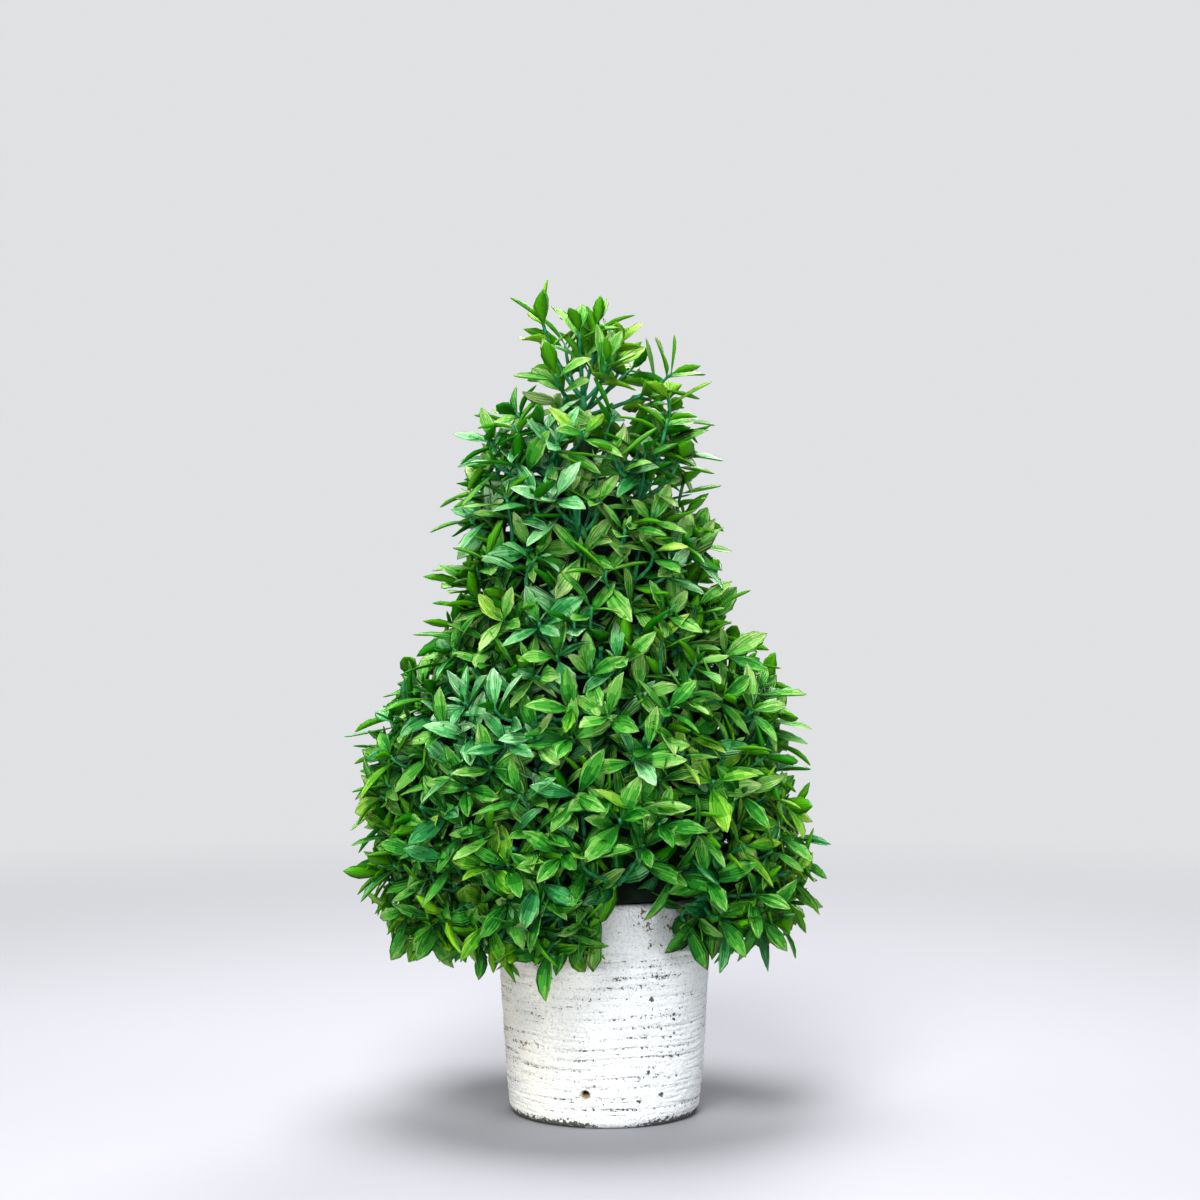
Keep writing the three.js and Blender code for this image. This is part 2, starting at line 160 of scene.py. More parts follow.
def linked(name, data):
    thing = bpy.data.objects.new(name, data)
    bpy.context.scene.collection.objects.link(thing)
    return thing


def new_piece(name, points, quads, triangles=(), uv=None, values=None):
    """A smooth mesh object from points in millimetres and arrays of four-sided and three-sided faces."""
    quads = np.asarray(quads, np.int32).reshape(-1, 4)
    triangles = np.asarray(triangles, np.int32).reshape(-1, 3)
    corners = np.concatenate([quads.ravel(), triangles.ravel()])
    starts = np.concatenate([np.arange(len(quads)) * 4, 4 * len(quads) + np.arange(len(triangles)) * 3])
    mesh = bpy.data.meshes.new(name)
    mesh.vertices.add(len(points))
    mesh.vertices.foreach_set("co", (np.asarray(points) * MM).astype(np.float32).ravel())
    mesh.loops.add(len(corners))
    mesh.loops.foreach_set("vertex_index", corners)
    mesh.polygons.add(len(starts))
    mesh.polygons.foreach_set("loop_start", starts.astype(np.int32))
    mesh.update(calc_edges=True)
    mesh.shade_smooth()
    if uv is not None:
        mesh.uv_layers.new(name="leaf").data.foreach_set("uv", uv[corners].astype(np.float32).ravel())
    for key, value in (values or {}).items():
        mesh.attributes.new(key, "FLOAT", "POINT").data.foreach_set("value", value.astype(np.float32))
    return linked(name, mesh)


def paint(piece, materials, kinds=None):
    for material in materials:
        piece.data.materials.append(material)
    if kinds is not None:
        piece.data.polygons.foreach_set("material_index", kinds.astype(np.int32))


def settle(piece, slot, *nodes):
    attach(piece, "root")
    if nodes:
        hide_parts(*nodes)


def grid_faces(rows, columns, closed=True):
    """Quads of a grid of points, row after row, whose columns close into a ring."""
    last = columns if closed else columns - 1
    k, c = np.meshgrid(np.arange(rows - 1), np.arange(last), indexing="ij")
    after = (c + 1) % columns
    return np.stack([k * columns + c, k * columns + after, (k + 1) * columns + after,
                     (k + 1) * columns + c], axis=-1).reshape(-1, 4)


def cap_faces(rows, columns):
    """Fans that close a ring grid at its foot and its top, whose points come after the grid's."""
    side = np.arange(columns)
    after = (side + 1) % columns
    last = (rows - 1) * columns
    foot_fan = np.stack([after, side, np.full(columns, rows * columns)], axis=-1)
    top_fan = np.stack([last + side, last + after, np.full(columns, rows * columns + 1)], axis=-1)
    return np.concatenate([foot_fan, top_fan])


def repeated(points, quads, triangles):
    """The mesh of many forms alike, from a block of points for each of them and the faces of one."""
    shift = (np.arange(len(points)) * points.shape[1])[:, None, None]
    return points.reshape(-1, 3), (quads + shift).reshape(-1, 4), (triangles + shift).reshape(-1, 3)


def merged(parts):
    """The points, quads and triangles of several meshes as those of one, moved to the crown's axis."""
    points, *faces = zip(*parts)
    shifts = np.cumsum([0] + [len(each) for each in points[:-1]])
    faces = [np.concatenate([each + shift for each, shift in zip(kind, shifts)]) for kind in faces]
    return np.concatenate(points) + [CROWN_X, 0, 0], *faces


def turned_piece(name, radius, z, azimuth, foot, top, shift=0.0, values=None):
    """A closed turned form from rows of radii and heights, capped at a foot point and a top point."""
    rows, columns = radius.shape
    points = np.stack([radius * np.cos(azimuth) + shift, radius * np.sin(azimuth), z + np.zeros_like(radius)],
                      axis=-1).reshape(-1, 3)
    values = {key: np.concatenate([value.ravel(), [0, 0]]) for key, value in (values or {}).items()}
    return new_piece(name, np.concatenate([points, [foot, top]]), grid_faces(rows, columns),
                     cap_faces(rows, columns), values=values)


# Tubes for boughs and twigs

KNOTS = Values(size=0.16, turns=2.5)


def bezier(start, bend, end, t):
    t = t[..., None]
    return start * (1 - t) ** 2 + bend * 2 * t * (1 - t) + end * t ** 2


def bezier_direction(start, bend, end, t):
    t = t[..., None]
    return unit((bend - start) * (1 - t) + (end - bend) * t)


def tubes(twigs, root_radius, tip_radius, sides, segments):
    """Points and faces of many tapering, knotty tubes along bent lines, each closed at both ends."""
    starts, bends, ends = twigs.start, twigs.bend, twigs.end
    count = len(starts)
    t = np.broadcast_to(np.linspace(0, 1, segments + 1), (count, segments + 1))
    line = bezier(starts[:, None], bends[:, None], ends[:, None], t)
    heading = bezier_direction(starts[:, None], bends[:, None], ends[:, None], t)
    upright = np.abs(heading[:, :1, 2:3]) > NEARLY_UPRIGHT.tube
    reference = np.where(upright, [1.0, 0, 0], [0, 0, 1.0])
    normal = unit(np.cross(heading, reference))
    binormal = np.cross(heading, normal)
    radius = root_radius + (tip_radius - root_radius) * t
    radius = radius * (1 + KNOTS.size * np.cos(TAU * (KNOTS.turns * t + vary(count, 0, 1)[:, None])))
    angle = around(sides)
    ring = normal[:, :, None] * np.cos(angle)[:, None] + binormal[:, :, None] * np.sin(angle)[:, None]
    points = line[:, :, None] + ring * radius[:, :, None, None]
    points = np.concatenate([points.reshape(count, -1, 3), starts[:, None], ends[:, None]], axis=1)
    return repeated(points, grid_faces(segments + 1, sides)[:, ::-1], cap_faces(segments + 1, sides)[:, ::-1])


# Leaves

STRIPS = 6
TEETH_FROM = 0.42  # share of the length from which the edges are toothed
THICK_AT_FOOT = 0.5  # share of the thickness that a leaf has where it has no width
LEAST_CURL = 0.02

# How single leaves vary, from the lowest to the highest, in the order in which they are drawn
LEAF_VARIES = dict(offset=(-0.5, 0.5), length=(0.84, 1.12), roll=(-0.35, 0.35), spread=(-14, 14),
                   width=(0.88, 1.14), curl=(-0.1, 0.55), fold=(0.08, 0.42), twist=(-0.5, 0.5),
                   sway=(-0.1, 0.1), teeth=(0.03, 0.09), tint=(-0.4, 0.4))


def strips_of(v, quads, triangles):
    """The lengthwise strip of a leaf in which each face lies, as a small number."""
    across = np.concatenate([v[faces].mean(1) for faces in (quads, triangles)])
    return np.clip(((across + 1) * (STRIPS / 2)).astype(int), 0, STRIPS - 1)


def leaf_shape(rows, widths, columns):
    """The grid of one leaf: shares along and across it, its width there, its lift, and its faces."""
    count, across = len(rows), len(columns)
    u = np.concatenate([np.repeat(rows, across), [1.0], rows])
    v = np.concatenate([np.tile(columns, count), [0.0], np.zeros(count)])
    width = np.concatenate([np.repeat(widths, across), [0.0], widths])
    toothed = (-1.0) ** np.arange(count) * (np.asarray(rows) > TEETH_FROM)
    tooth = np.concatenate([np.repeat(toothed, across), [0], np.zeros(count)]) * (np.abs(v) == 1)
    tip = count * across
    middle = tip + 1
    lift = np.zeros(len(u))
    lift[:tip][v[:tip] == 0] = -LEAF.midrib
    lift[-count:] = -LEAF.thick * np.minimum(1, np.asarray(widths) + THICK_AT_FOOT)
    top = grid_faces(count, across, closed=False)[:, [0, 3, 2, 1]]
    k = np.arange(count - 1)
    left = np.stack([k * across, middle + k, middle + k + 1, (k + 1) * across], axis=-1)
    right = np.stack([middle + k, (k + 1) * across - 1, (k + 2) * across - 1, middle + k + 1], axis=-1)
    last = (count - 1) * across
    c = np.arange(across - 1)
    tip_top = np.stack([last + c, np.full(across - 1, tip), last + c + 1], axis=-1)
    tip_under = np.array([[last, middle + count - 1, tip], [middle + count - 1, last + across - 1, tip]])
    foot = np.stack([c, c + 1, np.full(across - 1, middle)], axis=-1)
    quads = np.concatenate([top, left, right])
    triangles = np.concatenate([tip_top, tip_under, foot])
    under = np.concatenate([np.zeros(len(top)), np.ones(len(left) * 2), np.zeros(len(tip_top)), [1, 1],
                            np.zeros(len(foot))]).astype(bool)
    middles = [np.stack([u[faces].mean(1), np.abs(v[faces]).mean(1)], axis=-1)
               for faces in (quads, triangles)]
    return Values(u=u, v=v, width=width, tooth=tooth, lift=lift, quads=quads, triangles=triangles,
                  under=under, places=np.concatenate(middles), strips=strips_of(v, quads, triangles))


FINE_LEAF = leaf_shape([0, 0.07, 0.15, 0.25, 0.36, 0.47, 0.58, 0.69, 0.79, 0.88, 0.95],
                       [0.15, 0.14, 0.30, 0.62, 0.87, 0.99, 1.0, 0.90, 0.71, 0.46, 0.20],
                       np.array([-1, -0.66, -0.33, 0, 0.33, 0.66, 1]))
PLAIN_LEAF = leaf_shape([0, 0.12, 0.3, 0.5, 0.7, 0.88], [0.13, 0.2, 0.78, 1.0, 0.84, 0.42],
                        np.array([-1.0, 0, 1]))


def leaf_points(leaves, shape):
    """The points of every leaf, as one block per leaf."""
    curl = np.where(np.abs(leaves.curl) < LEAST_CURL, LEAST_CURL, leaves.curl)[:, None]
    length, width = leaves.length[:, None], leaves.width[:, None]
    bend = curl * shape.u
    across = 0.5 * width * shape.width * shape.v * (1 + leaves.teeth[:, None] * shape.tooth)
    rise = np.abs(across) * leaves.fold[:, None] + shape.lift
    turn = leaves.twist[:, None] * shape.u
    y = across * np.cos(turn) - rise * np.sin(turn) + leaves.sway[:, None] * length * shape.u ** 2
    height = across * np.sin(turn) + rise * np.cos(turn)
    x = length * np.sin(bend) / curl + height * np.sin(bend)
    z = -length * (1 - np.cos(bend)) / curl + height * np.cos(bend)
    blade, side, face = leaning_axes(leaves.direction, leaves.roll, leaves.spread)
    return (leaves.origin[:, None] + x[..., None] * blade[:, None] + y[..., None] * side[:, None]
            + z[..., None] * face[:, None])


def chosen_of(things, chosen):
    return Values(**{key: value[chosen] for key, value in vars(things).items()})


def joined(groups):
    return Values(**{key: np.concatenate([getattr(group, key) for group in groups])
                     for key in vars(groups[0])})


def pot_clash(points):
    """Whether any point of each leaf lies in the pot, too near it or too low."""
    radius = np.hypot(points[..., 0] + CROWN_X, points[..., 1])
    z = points[..., 2]
    below_band = z < POT.neck_z + KEEP_OFF.above_neck
    limit = np.where(below_band, POT.shoulder_radius, POT.band_radius) + KEEP_OFF.wall
    near_pot = (z < POT.height + KEEP_OFF.rim) & (radius < limit)
    return (near_pot | (z < KEEP_OFF.lowest)).any(axis=1)


def in_parting(points):
    """Whether each point stands before the part of the pot's rim that shows."""
    azimuth = np.degrees(np.arctan2(points[..., 1], points[..., 0] + CROWN_X))
    return (azimuth > PARTING.from_azimuth) & (azimuth < PARTING.to_azimuth)


def hides_rim(points):
    """Whether a leaf hangs across the parting that shows the pot's rim."""
    within = in_parting(points)
    return (within & (points[..., 2] < PARTING.below)).mean(axis=1) > PARTING.most_across


def clear_of_pot(leaves, shape):
    """Rolls leaves that would touch the pot and closes them up, and drops those that still touch it."""
    for _ in range(KEEP_OFF.tries):
        hit = pot_clash(leaf_points(leaves, shape))
        if not hit.any():
            break
        leaves.roll[hit] += vary(hit.sum(), -KEEP_OFF.roll, KEEP_OFF.roll)
        leaves.spread[hit] *= vary(hit.sum(), *KEEP_OFF.spread)
    points = leaf_points(leaves, shape)
    return chosen_of(leaves, ~(pot_clash(points) | hides_rim(points)))


def clear_of_rim(twigs):
    """The twigs that don't end in front of the part of the rim that shows."""
    return chosen_of(twigs, ~(in_parting(twigs.end) & (twigs.end[:, 2] < PARTING.twigs_below)))


# Growth

JITTER_ALONG = 0.4  # share of the jitter in azimuth that a twig's place along the stations has
BOUGH = Values(short_of_leaves=6.0, jitter=0.01, root=14, wander=1)
FORK = Values(share=(0.1, 0.6), rise=0.12, bend=0.55)
FIRST_JOINT = 0.05  # share of a twig's length below which it bears no leaves
QUARTER = math.pi / 2

# Pairs of leaves on each kind of twig, from the tip down: the step in tint, the turn round the twig, the
# offset from the tip, the spread in degrees, the size, the share of the twigs that have it, and its slimness
OUTER_PAIRS = [(-0.8, QUARTER, 0.0, 30, 0.34, 0.6, 0.8), (0, 0, 1.0, 56, 0.88), (0, QUARTER, 3.0, 70, 1.02),
               (-0.3, 0.3, 9.5, 78, 1.04, 0.75)]
INNER_PAIRS = [(0, 0, 0.5, 50, 1.05), (0, QUARTER, 5.0, 68, 1.05)]
TUFT_PAIRS = [(0, 0, 0.3, 30, 0.8), (0, 1.5, 3.0, 50, 1.05), (0, 0.4, 10.5, 56, 1.1),
              (0, 1.7, 18.0, 48, 1.0, 0.6)]
SIDE_PAIRS = [(0, 0, 0.5, 36, 0.8), (0, 1.5, 4.0, 56, 1.0)]


def mass_names(points):
    """The name of the mass of foliage in whose space each point lies."""
    radius = np.hypot(points[:, 0], points[:, 1])
    azimuth = np.degrees(np.arctan2(points[:, 1], points[:, 0]))
    names = np.full(len(points), "", dtype=object)
    for tier in TIERS:
        core_radius = np.interp(tier.from_z, CORE[3:, 1], CORE[3:, 0])
        above = points[:, 2] >= tier.from_z + np.maximum(0, radius - core_radius) * tier.slope
        sector = ((azimuth - tier.azimuth) % 360 / (360 / len(tier.sides))).astype(int)
        found = np.array([f"{tier.name}_{tier.sides[k]}" for k in sector], dtype=object)
        names = np.where(above, found, names)
    above = points[:, 2] >= TUFT.from_z + np.maximum(0, radius - TUFT.cone_radius) * TUFT.slope
    return np.where(above, "top", names)


def near_places(points, places):
    """The sum at each point of what the places near it in x and z add."""
    total = np.zeros(len(points))
    for x, z, spread, step in places:
        total += step * np.exp(-((points[:, 0] - x) ** 2 + (points[:, 2] - z) ** 2) / spread ** 2)
    return total


def crown_twigs(count, depth, jitter, first_turn=0.0):
    """Where sprays leave the core and where they end, by the rule of the solids' sprays."""
    i = np.arange(count)
    t = spray_shares((i + 0.5) / count) + vary(count, -jitter, jitter) * JITTER_ALONG
    azimuth = i * GOLDEN + first_turn + vary(count, -jitter, jitter)
    start = crown_points(along(CORE, t), azimuth)
    goal = crown_points(along(OUTLINE, t), azimuth)
    direction = unit(goal - start)
    tip = goal - direction * (LEAF_REACH + depth - near_places(goal, REACH_PLACES))[:, None]
    return start, tip, direction


def boughs():
    """The limbs that the solids' sprays stand for, from inside the core almost to the outline."""
    start, tip, direction = crown_twigs(SPRAYS, np.full(SPRAYS, BOUGH.short_of_leaves), BOUGH.jitter)
    root = start - direction * BOUGH.root
    return Values(start=root, bend=(root + tip) / 2 + random.normal(0, BOUGH.wander, root.shape), end=tip)


def twigs_on(limbs, count, depth, jitter, wander, first_turn=0.0):
    """Finer twigs that fork from the nearest limbs and end by the same rule, each as a bent line."""
    _, tip, direction = crown_twigs(count, depth, jitter, first_turn)
    nearest = np.linalg.norm(tip[:, None] - limbs.end[None], axis=-1).argmin(axis=1)
    share = vary(count, *FORK.share)[:, None]
    fork = limbs.start[nearest] * (1 - share) + limbs.end[nearest] * share
    heading = unit(direction + random.normal(0, wander, (count, 3)) + [0, 0, FORK.rise])
    run = np.linalg.norm(tip - fork, axis=1)[:, None]
    return Values(start=fork, bend=tip - heading * run * FORK.bend, end=tip)


def leaf_joints(twigs, offsets):
    """Points and headings on the twigs at distances back from their tips."""
    run = np.linalg.norm(twigs.end - twigs.start, axis=1)
    t = np.clip(1 - offsets / np.maximum(run, 1), FIRST_JOINT, 1)
    line = twigs.start, twigs.bend, twigs.end
    return bezier(*line, t), bezier_direction(*line, t)


def leaf_pair(twigs, tint, first_roll, offset, spread, size, share=1.0, slim=1.0):
    """Two opposite leaves at one joint of the given share of the twigs, at an offset back from the tip."""
    bearing = vary(len(tint), 0, 1) < share
    twigs, tint, first_roll = chosen_of(twigs, bearing), tint[bearing], first_roll[bearing]
    count = len(tint)
    groups = []
    for half in range(2):
        own = Values(**{key: vary(count, *reach) for key, reach in LEAF_VARIES.items()})
        origin, direction = leaf_joints(twigs, offset + own.offset)
        length = LEAF.length * size * own.length
        groups.append(Values(
            origin=origin, direction=direction, roll=first_roll + math.pi * half + own.roll,
            spread=np.radians(spread + own.spread), length=length,
            width=length * slim * LEAF.width / LEAF.length * own.width, curl=own.curl, fold=own.fold,
            twist=own.twist, sway=own.sway, teeth=own.teeth, tint=tint + own.tint))
    return joined(groups)


def any_roll(twigs):
    return vary(len(twigs.end), 0, TAU)


def leaves_on(twigs, tint, roll, pairs):
    return joined([leaf_pair(twigs, tint + step, roll + turn, *pair) for step, turn, *pair in pairs])


# The open tuft on top

MAIN_BEND = [0.72, 0.72, 0.38]  # where a main twig bends, as shares of the way out and up
SIDE_TWIG = Values(fork=0.5, wander=0.6, share=0.35, least=3)


def tuft_main():
    """The solids' tuft twigs, carried on to the reach of finer leaves and bent a little upright."""
    starts = np.array([[0, 0, from_z] for from_z, _ in TUFT_TWIGS], float)
    reach = np.array([goal for _, goal in TUFT_TWIGS], float)
    direction = unit(reach - starts)
    ends = reach - direction * TUFT_REACH
    bends = starts + (ends - starts) * MAIN_BEND
    return Values(start=starts, bend=bends, end=ends)


def tuft_side(main):
    """A shorter twig that forks from half way up every other main twig."""
    main = chosen_of(main, slice(0, None, 2))
    run = np.linalg.norm(main.end - main.start, axis=1)
    fork, heading = leaf_joints(main, SIDE_TWIG.fork * run)
    heading = unit(heading + random.normal(0, SIDE_TWIG.wander, heading.shape))
    tips = fork + heading * (SIDE_TWIG.share * run + SIDE_TWIG.least)[:, None]
    return Values(start=fork, bend=(fork + tips) / 2, end=tips)


def tuft_leaves(main, side):
    """Pairs of leaves down the main twigs, and two pairs on each side twig."""
    tint, side_tint = spray_tints(main.end), spray_tints(side.end)
    roll, side_roll = any_roll(main), any_roll(side)
    return joined([leaves_on(main, tint, roll, TUFT_PAIRS),
                   leaves_on(side, side_tint, side_roll, SIDE_PAIRS)])


# Materials

def linear(colour):
    """A colour given as 0 to 255 as the linear values that a shader takes."""
    shares = [c / 255 for c in colour]
    return tuple(s / 12.92 if s <= 0.04045 else ((s + 0.055) / 1.055) ** 2.4 for s in shares) + (1.0,)


class Nodes:
    """The node tree of a material, with short ways to add and join nodes."""

    def __init__(self, name, roughness, specular=0.5):
        self.material = bpy.data.materials.new(name)
        self.material.use_nodes = True
        self.tree = self.material.node_tree
        self.shader = self.tree.nodes["Principled BSDF"]
        self.shader.inputs["Roughness"].default_value = roughness
        self.shader.inputs["Specular IOR Level"].default_value = specular

    def add(self, kind, inputs=None, **settings):
        """A new node with its settings, and its inputs fed by name or number."""
        node = self.tree.nodes.new(kind)
        for key, value in settings.items():
            setattr(node, key, value)
        for key, value in (inputs or {}).items():
            self.feed(node.inputs[key], value)
        return node

    def feed(self, socket, value):
        if isinstance(value, bpy.types.NodeSocket):
            self.tree.links.new(value, socket)
        else:
            socket.default_value = value

    def math(self, operation, first, *others):
        for other in others or [0.0]:
            first = self.add("ShaderNodeMath", {0: first, 1: other}, operation=operation).outputs[0]
        return first

    def sum(self, *values):
        return self.math("ADD", *values)

    def product(self, a, b):
        return self.math("MULTIPLY", a, b)

    def most(self, *values):
        return self.math("MAXIMUM", *values)

    def distance(self, a, b):
        return self.math("ABSOLUTE", self.math("SUBTRACT", a, b))

    def between(self, value, low, high, start=0.0, end=1.0):
        """From start to end as the value goes from low to high."""
        inputs = dict(enumerate([value, low, high, start, end]))
        return self.add("ShaderNodeMapRange", inputs, interpolation_type="SMOOTHSTEP").outputs[0]

    def mix(self, share, low, high):
        """Two colours mixed. The sockets for colours are the node's inputs 6 and 7 and its output 2."""
        return self.add("ShaderNodeMix", {0: share, 6: low, 7: high}, data_type="RGBA").outputs[2]

    def noise(self, vector, scale, detail=2.0, roughness=0.5):
        inputs = {"Vector": vector, "Scale": scale, "Detail": detail, "Roughness": roughness}
        return self.add("ShaderNodeTexNoise", inputs).outputs["Fac"]

    def stretched(self, vector, z):
        return self.add("ShaderNodeMapping", {"Vector": vector, "Scale": (1, 1, z)}).outputs["Vector"]

    def place(self, output="Object"):
        return self.add("ShaderNodeTexCoord").outputs[output]

    def axes(self, vector):
        return self.add("ShaderNodeSeparateXYZ", {0: vector}).outputs

    def value_of(self, attribute):
        return self.add("ShaderNodeAttribute", attribute_name=attribute).outputs["Fac"]

    def colour(self, value):
        self.feed(self.shader.inputs["Base Color"], value)

    def bump(self, height, strength, distance):
        node = self.add("ShaderNodeBump", {"Height": height, "Strength": strength, "Distance": distance})
        self.feed(self.shader.inputs["Normal"], node.outputs["Normal"])


# Relief of a leaf: its veins' phase across and along it, the grain and its part, and the depth in metres
RELIEF = Values(across=42.0, along=13.0, grain_scale=1300.0, grain=1.2, strength=0.65, depth=0.0004)
LEAF_SPECULAR = 0.12
GRAINED_SPECULAR = 0.15


def leaf_material(name, colour, roughness, veins):
    """Moulded leaf: one plain colour, with veins that run forward from the midrib and a fine grain."""
    nodes = Nodes(name, roughness, LEAF_SPECULAR)
    nodes.colour(linear(colour))
    u, v, _ = nodes.axes(nodes.place("UV"))
    from_midrib = nodes.distance(v, 0.5)
    phase = nodes.math("SUBTRACT", nodes.product(from_midrib, RELIEF.across), nodes.product(u, RELIEF.along))
    lines = nodes.product(nodes.math("SINE", phase), veins)
    grain = nodes.noise(nodes.place(), RELIEF.grain_scale, roughness=0.7)
    nodes.bump(nodes.sum(lines, nodes.product(grain, RELIEF.grain)), RELIEF.strength, RELIEF.depth)
    return nodes.material


# Faces of a leaf go from the deep colour of its foot to the pale colour of its tip, in one of three kinds
# The palest levels are partly the leaves' own pale tips and partly a painted sheen
LEAF_COLOURS = [
    [(8, 64, 28), (22, 90, 42), (50, 116, 62), (88, 140, 90), (116, 158, 114), (146, 178, 142)],
    [(6, 68, 10), (24, 92, 20), (52, 117, 36), (88, 138, 60), (116, 152, 84), (140, 166, 106)],
    [(12, 76, 4), (34, 100, 10), (66, 122, 24), (96, 141, 40), (119, 156, 62), (142, 169, 86)],
]
UNDER_COLOURS = [(28, 106, 6), (66, 132, 12), (102, 154, 28)]
LEVELS = len(LEAF_COLOURS[0])


def leaf_materials():
    made = []
    for kind, ramp in zip(("blue", "mid", "lime"), LEAF_COLOURS):
        for i, colour in enumerate(ramp):
            made.append(leaf_material(f"leaf_{kind}_{i}", colour, roughness=0.48, veins=0.5))
    for i, colour in enumerate(UNDER_COLOURS):
        made.append(leaf_material(f"underleaf_{i}", colour, roughness=0.42, veins=0.2))
    return made


def grained_material(name, low, high, scale, roughness, strength, distance, stretch=1.0):
    """Two colours mixed by a grain that also roughens the surface."""
    nodes = Nodes(name, roughness, GRAINED_SPECULAR)
    grain = nodes.noise(nodes.stretched(nodes.place(), stretch), scale, detail=4.0, roughness=0.65)
    nodes.colour(nodes.mix(nodes.between(grain, 0.35, 0.7), linear(low), linear(high)))
    nodes.bump(grain, strength, distance)
    return nodes.material


# Colours of the whitewash and of what shows through it, with painted shade: faint greys the grooves, and pit
# is a painted shadow in the pit's upper part
WASH = Values(white=(218, 221, 223), cream=(232, 229, 217), grey=(180, 184, 182), ridge=(217, 201, 166),
              faint=(150, 150, 140), body=(50, 52, 42), chip=(106, 80, 52), pit=(22, 20, 18),
              pit_edge=(168, 138, 88))

# Levels of noise between which a kind of wear starts to show and shows in full
WORN = Values(in_groove=(0.2, 0.5), dashes=(1.13, 1.2), specks=(0.80, 0.83), foot=(1.86, 1.96),
              nicks=(0.78, 0.82), chips=(0.70, 0.73))

# Nicks down to the dark body and clusters of brown chips: azimuth in degrees, height, and reach in mm
NICKS = [(-48.8, 43.4, 2.2), (-48.6, 41.6, 1.9), (-48, 36.3, 1.8), (-64, 50.5, 2.4), (-56, 12.6, 2.4),
         (-64.5, 21.9, 1.9), (-70, 10.6, 2.0), (-56.5, 38.5, 1.8), (30, 33, 2.3), (95, 47, 2.2),
         (160, 21, 2.4)]
CHIPS = [(-64, 71, 3.0), (-65, 79, 5.0), (-68, 84, 5.0), (-52, 78, 5.5), (-44, 73, 5.0), (-38, 76, 5.0),
         (-142, 30.8, 3.0), (-131, 31.7, 3.0), (-96, 17.4, 2.2), (60, 72, 6.0), (120, 79, 6.0),
         (-150, 75, 5.0)]


def near_points(nodes, place, points):
    """1 at each of the given points on the wall, falling to 0 at its reach."""
    found = 0.0
    for azimuth, z, reach in points:
        radius = wall_radius(z)
        angle = math.radians(azimuth)
        point = (radius * math.cos(angle) * MM, radius * math.sin(angle) * MM, z * MM)
        away = nodes.add("ShaderNodeVectorMath", {0: place, 1: point}, operation="DISTANCE").outputs["Value"]
        found = nodes.most(found, nodes.between(away, 0.0, reach * MM, 1.0, 0.0))
    return found


def wash_colour(nodes, place):
    """Chalky white, creamier to the left as part cream, part painted light, with a fine grey grain and a buff
    ridge along the neck.
    """
    x, _, z = nodes.axes(place)
    patches = nodes.noise(place, scale=30.0)
    # Partly painted light: the left side is lighter and creamier in patches
    cream = nodes.product(nodes.between(x, 0.012, -0.045), nodes.between(patches, 0.3, 0.6, start=0.5))
    colour = nodes.mix(cream, linear(WASH.white), linear(WASH.cream))
    speckle = nodes.noise(place, scale=900.0, detail=3.0, roughness=0.75)
    colour = nodes.mix(nodes.between(speckle, 0.50, 0.70, end=0.7), colour, linear(WASH.grey))
    wobble = nodes.product(nodes.math("SUBTRACT", patches, 0.5), 0.006)
    off_ridge = nodes.distance(nodes.sum(z, wobble), 0.0668)
    ridge = nodes.product(nodes.between(off_ridge, 0.0006, 0.003, 1.0, 0.0), nodes.between(x, 0.01, -0.02))
    return nodes.mix(nodes.product(ridge, 0.5), colour, linear(WASH.ridge))


def worn_share(nodes, place, dots):
    """Where the dark body shows: ragged dashes along the grooves, stray specks, the worn foot and nicks."""
    x, _, z = nodes.axes(place)
    groove = nodes.value_of("groove")
    where = nodes.noise(nodes.stretched(place, 3.0), scale=40.0)
    cleaner_above = nodes.between(z, 0.042, 0.05, end=-0.06)
    level = nodes.sum(nodes.product(dots, 1.5), nodes.product(where, 0.45), nodes.product(groove, 0.1),
                      cleaner_above)
    dashes = nodes.product(nodes.between(groove, *WORN.in_groove), nodes.between(level, *WORN.dashes))
    more_right = nodes.between(x, -0.012, 0.03, end=0.03)
    more_on_band = nodes.between(z, 0.067, 0.071, end=0.03)
    specks = nodes.sum(dots, nodes.product(where, 0.22), more_right, more_on_band)
    off_centre = nodes.between(nodes.distance(x, 0.004), 0.002, 0.016, -0.5, 0.05)
    low = nodes.between(z, 0.0056, 0.0006)
    foot = nodes.sum(low, nodes.product(dots, 2.4), off_centre)
    nicks = nodes.sum(nodes.product(near_points(nodes, place, NICKS), 0.44), dots)
    return nodes.most(dashes, nodes.between(specks, *WORN.specks), nodes.between(foot, *WORN.foot),
                      nodes.between(nicks, *WORN.nicks))


